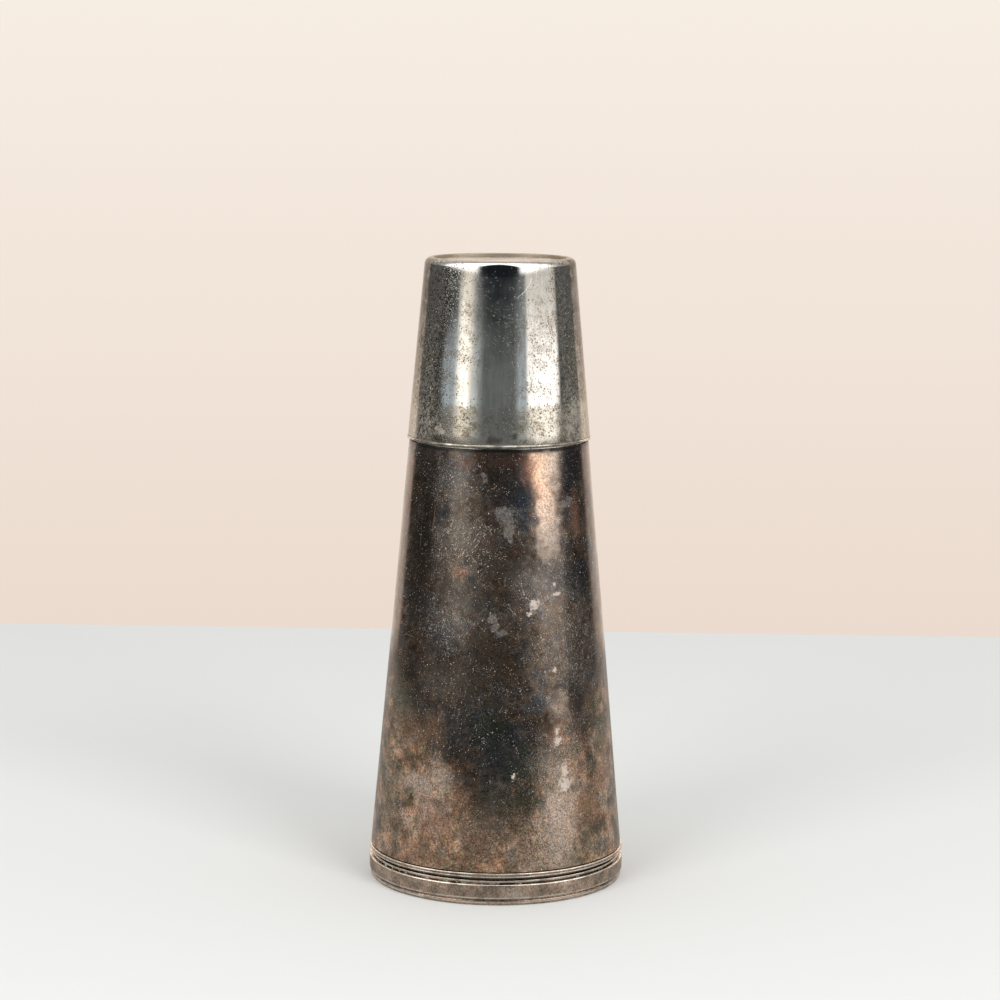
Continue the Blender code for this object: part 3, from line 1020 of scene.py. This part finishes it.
def make_solder(metal):
    """Small runs of solder in the channel between the foot and the bead, most of them in front."""
    draw = Random(SOLDER_SEED)
    noise.seed_set(SOLDER_SEED)
    bm = bmesh.new()
    r = FOOT_R - SOLDER_DEPTH
    level = FOOT_LOW + BAND_HIGH + SOLDER_RISE
    for _ in range(SOLDER_RUNS):
        angle = radians(draw.uniform(-34, 6)) if draw.random() < 0.6 else draw.uniform(0, tau)
        length = draw.uniform(0.4, 1.5)
        height = draw.uniform(0.16, 0.34)
        depth = draw.uniform(0.16, 0.3)
        place = Matrix.Translation(Vector((r * sin(angle), -r * cos(angle), level)) * MM)
        turn = Matrix.Rotation(angle, 4, "Z")
        shape = Matrix.Diagonal((length * MM, depth * MM, height * MM, 1))
        made = bmesh.ops.create_icosphere(bm, subdivisions=3, radius=1, matrix=place @ turn @ shape)
        for vertex in made["verts"]:
            vertex.co += noise.noise_vector(vertex.co * SOLDER_LUMPS) * SOLDER_UNEVEN * MM
    mesh = bpy.data.meshes.new("solder_runs")
    bm.to_mesh(mesh)
    bm.free()
    piece("solder_runs", mesh, metal, "body")


def solder_metal():
    """Grey, uneven solder."""
    m = Recipe("old_solder")
    colour = m.ramp(m.clouds(0.8, detail=3), (0.35, (0.22, 0.19, 0.16)), (0.65, (0.62, 0.57, 0.50)))
    m.relief(m.clouds(0.3, detail=2), 0.03)
    return m.done(colour, 1.0, m.fade(m.clouds(0.6), 0.3, 0.7, 0.25, 0.45))


def rim_metal():
    """The wire at the cup's mouth: silver with brown and black between its bright places."""
    m = Recipe("rim_silver")
    colour = m.ramp(
        m.clouds(3.5, detail=5, rough=0.65),
        (0.36, (0.24, 0.20, 0.15)),
        (0.50, (0.46, 0.42, 0.36)),
        (0.62, (0.78, 0.75, 0.70)),
    )
    black = m.fade(m.clouds(0.7, detail=3, rough=0.7, shift=3), 0.60, 0.68)
    colour = m.mix(m.times(black, 0.8), colour, (0.05, 0.045, 0.04))
    m.relief(m.clouds(0.5, detail=2), 0.02)
    return m.done(colour, 1.0, m.fade(m.clouds(2), 0.3, 0.7, 0.18, 0.36))


# The studio.

BACK_EDGE = 0.342  # where the pale floor ends behind the object, in metres
BOARD_FRONT = -0.33
BOARD_LEFT = -0.50
BOARD_RIGHT = 0.45
WALL_HALF = 0.42
STUDIO_R = 30  # so far off that only a reflection's direction counts

# The studio's colours, which only reflections see, in degrees round from the front and up from level.
ROOM_FRONT = (0.150, 0.158, 0.155)
ROOM_SIDES = (0.040, 0.036, 0.032)
ROOM_FAR_RIGHT = (0.070, 0.068, 0.062)
CEILING = (1.9, 1.88, 1.80)
PATCH = (0.010, 0.013, 0.016)
# The dark patch's centre round and up, half width, and reach down and up.
DARK_PATCH = (-1.5, 6.9, 32, 1.05, 60)
NO_TOP = 90
# Windows: (colour, left, right, softness of the sides, bottom, top, climb of the top to the right).
# Each lies over the ones before it.
WINDOWS = (
    ((0.46, 0.52, 0.55), -84, -52, 6, 1.9, 2.7, 0.08),
    ((0.60, 0.63, 0.62), -46, -27, 7, 1.4, 5.6, 0),
    ((0.46, 0.51, 0.53), 23, 42, 5, 1.4, 5.4, 0),
    ((0.75, 0.68, 0.58), -57, -37, 5, 3.9, NO_TOP, 0),
    ((0.70, 0.67, 0.62), 37.5, 88, 2.5, 2.8, NO_TOP, 0),
    ((1.80, 1.70, 1.50), -58, -41, 7, 1.9, 5.4, 0),
    ((2.30, 2.20, 2.05), 46, 79, 1.5, -0.6, 2.0, 0),
    ((1.75, 1.68, 1.60), 38, 87, 3, 1.8, 5.3, -0.045),
)

# Lamps: (name, place in metres, power in watts).
LAMPS = (
    ("soft_right", (0.6, -0.85, 0.75), 7),
    ("soft_left", (-0.6, -0.8, 0.7), 5),
)
LAMP_WIDTH = 0.5

BACKDROP_LOW = (0.83, 0.70, 0.61, 1)
BACKDROP_HIGH = (0.93, 0.85, 0.77, 1)
ROOM_WHITE = (0.88, 0.88, 0.88, 1)

# The camera: its place in heights of the object, its lens, and its tip and roll in degrees.
CAMERA_PLACE = (0.0024, -4.5266, 1.27355)
CAMERA_LENS = 102.8
CAMERA_TIP = 8.324
CAMERA_ROLL = 0.448


def plain(name, colour, roughness=0.9):
    """A matt material of one colour for the stage."""
    material = bpy.data.materials.new(name)
    material.use_nodes = True
    shader = material.node_tree.nodes["Principled BSDF"]
    shader.inputs["Base Color"].default_value = (*colour, 1)
    shader.inputs["Roughness"].default_value = roughness
    shader.inputs["Specular IOR Level"].default_value = 0.2
    return material


def flat(name, corners, material):
    """A flat piece of the stage."""
    mesh = bpy.data.meshes.new(name)
    mesh.from_pydata(corners, [], [tuple(range(len(corners)))])
    mesh.materials.append(material)
    made = bpy.data.objects.new(name, mesh)
    bpy.context.scene.collection.objects.link(made)
    return made


def only_reflected(thing):
    """Leaves a stage piece to reflections, so that it neither shows nor shades."""
    thing.visible_camera = False
    thing.visible_diffuse = False
    thing.visible_shadow = False
    thing.visible_transmission = False


def back_edge(x):
    """The line where the floor meets the backdrop, a little askew to the camera."""
    return BACK_EDGE - 0.031 * x


def floor_at(left, right, front):
    """The corners of a floor that reaches back to the backdrop."""
    return [(left, front, 0), (right, front, 0), (right, back_edge(right), 0), (left, back_edge(left), 0)]


def studio_metal():
    """What the metal reflects: a dark room, a soft window on each side and a bright ceiling."""
    m = Recipe("studio_light")
    x, y, z = m.split(m.vector("NORMALIZE", m.place))
    around = m.times(m.maths("ARCTAN2", x, m.times(y, -1)), 180 / pi)
    up = m.times(m.maths("ARCSINE", z), 180 / pi)
    aside = m.maths("ABSOLUTE", around)
    glow = m.mix(m.fade(aside, 20, 60), ROOM_FRONT, ROOM_SIDES)
    glow = m.mix(m.fade(around, 84, 92), glow, ROOM_FAR_RIGHT)
    for colour, left, right, soft, bottom, top, slant in WINDOWS:
        across = m.times(m.fade(around, left - soft, left + soft), m.fade(around, right + soft, right - soft))
        over = m.less(up, m.times(m.less(around, left), slant))
        across = m.times(across, m.fade(up, bottom - 0.5, bottom + 0.5))
        glow = m.mix(m.times(across, m.fade(over, top + 0.4, top - 0.4)), glow, colour)
    ceiling = m.times(m.fade(up, 8, 10), m.fade(aside, 105, 80, 0.25, 1))
    glow = m.mix(ceiling, glow, CEILING)
    centre_round, centre_up, half_width, reach_down, reach_up = DARK_PATCH
    off = m.less(up, centre_up)
    off = m.most([m.times(off, -1 / reach_down), m.times(off, 1 / reach_up)])
    off_round = m.times(m.add(around, -centre_round), 1 / half_width)
    off = m.vector("LENGTH", m.join(off_round, off, 0), value=True)
    glow = m.mix(m.fade(off, 1.16, 0.84), glow, PATCH)
    light = m.nodes.new("ShaderNodeEmission")
    m.put(light.inputs["Color"], glow)
    m.links.new(light.outputs[0], m.nodes["Material Output"].inputs["Surface"])
    m.nodes.remove(m.shader)
    return m.material


def make_world():
    """Even white light all round, which the camera sees as a plain cream backdrop."""
    world = bpy.data.worlds.new("pale_backdrop")
    bpy.context.scene.world = world
    world.use_nodes = True
    world.cycles_visibility.glossy = False
    world.cycles.sampling_method = "NONE"
    nodes, links = world.node_tree.nodes, world.node_tree.links
    heights = nodes.new("ShaderNodeSeparateXYZ")
    links.new(nodes.new("ShaderNodeTexCoord").outputs["Generated"], heights.inputs[0])
    ramp = nodes.new("ShaderNodeValToRGB")
    ramp.color_ramp.elements[0].color = BACKDROP_LOW
    ramp.color_ramp.elements[1].color = BACKDROP_HIGH
    shift = nodes.new("ShaderNodeMapRange")
    shift.inputs["From Min"].default_value = -0.20
    shift.inputs["From Max"].default_value = 0.03
    links.new(heights.outputs[2], shift.inputs[0])
    links.new(shift.outputs[0], ramp.inputs[0])
    seen = nodes.new("ShaderNodeMix")
    seen.data_type = "RGBA"
    seen.inputs[6].default_value = ROOM_WHITE
    links.new(nodes.new("ShaderNodeLightPath").outputs["Is Camera Ray"], seen.inputs[0])
    links.new(ramp.outputs[0], seen.inputs[7])
    links.new(seen.outputs[2], nodes["Background"].inputs["Color"])


def make_studio():
    """A pale floor and backdrop, soft light, and the boards and windows that the metal reflects."""
    pale = plain("pale_floor", (0.665, 0.668, 0.652))
    floor = flat("floor", floor_at(-3, 3, -3), pale)
    floor.visible_glossy = False
    board = flat("board", floor_at(BOARD_LEFT, BOARD_RIGHT, BOARD_FRONT), pale)
    wall_paint = plain("pale_wall", (0.86, 0.73, 0.64))
    corners = [(-WALL_HALF, 0), (WALL_HALF, 0), (WALL_HALF, 0.6), (-WALL_HALF, 0.6)]
    wall = flat("wall", [(x, back_edge(x), z) for x, z in corners], wall_paint)
    bm = bmesh.new()
    bmesh.ops.create_icosphere(bm, subdivisions=4, radius=STUDIO_R)
    mesh = bpy.data.meshes.new("studio")
    bm.to_mesh(mesh)
    bm.free()
    mesh.materials.append(studio_metal())
    dome = bpy.data.objects.new("studio", mesh)
    bpy.context.scene.collection.objects.link(dome)
    for thing in (board, wall, dome):
        only_reflected(thing)
    make_world()
    for name, place, power in LAMPS:
        light = bpy.data.lights.new(name, "AREA")
        light.shape = "SQUARE"
        light.size = LAMP_WIDTH
        light.energy = power
        lamp = bpy.data.objects.new(name, light)
        lamp.location = place
        lamp.rotation_euler = (-Vector(place)).to_track_quat("-Z", "Y").to_euler()
        lamp.visible_glossy = False
        lamp.visible_camera = False
        bpy.context.scene.collection.objects.link(lamp)


def make_camera():
    """A long lens at the photograph's angle: in front, a little above, tipped down and rolled."""
    camera = bpy.data.objects.new("camera", bpy.data.cameras.new("camera"))
    camera.data.lens = CAMERA_LENS
    camera.location = [part * cad_high.z for part in CAMERA_PLACE]
    tip = Matrix.Rotation(radians(90 - CAMERA_TIP), 4, "X")
    roll = Matrix.Rotation(radians(CAMERA_ROLL), 4, "Z")
    camera.rotation_euler = (tip @ roll).to_euler()
    bpy.context.scene.collection.objects.link(camera)
    bpy.context.scene.camera = camera


def main():
    foot = foot_metal()
    inner = inner_metal()
    make_camera()
    make_studio()
    make_foot(foot)
    make_bead(foot)
    make_body(body_metal())
    make_base(under_metal())
    make_solder(solder_metal())
    make_neck(inner)
    make_strainer(inner)
    make_plate(inner)
    make_cup(cup_metal(), end_metal(), rim_metal())
    bpy.context.scene.view_settings.view_transform = "Standard"


main()
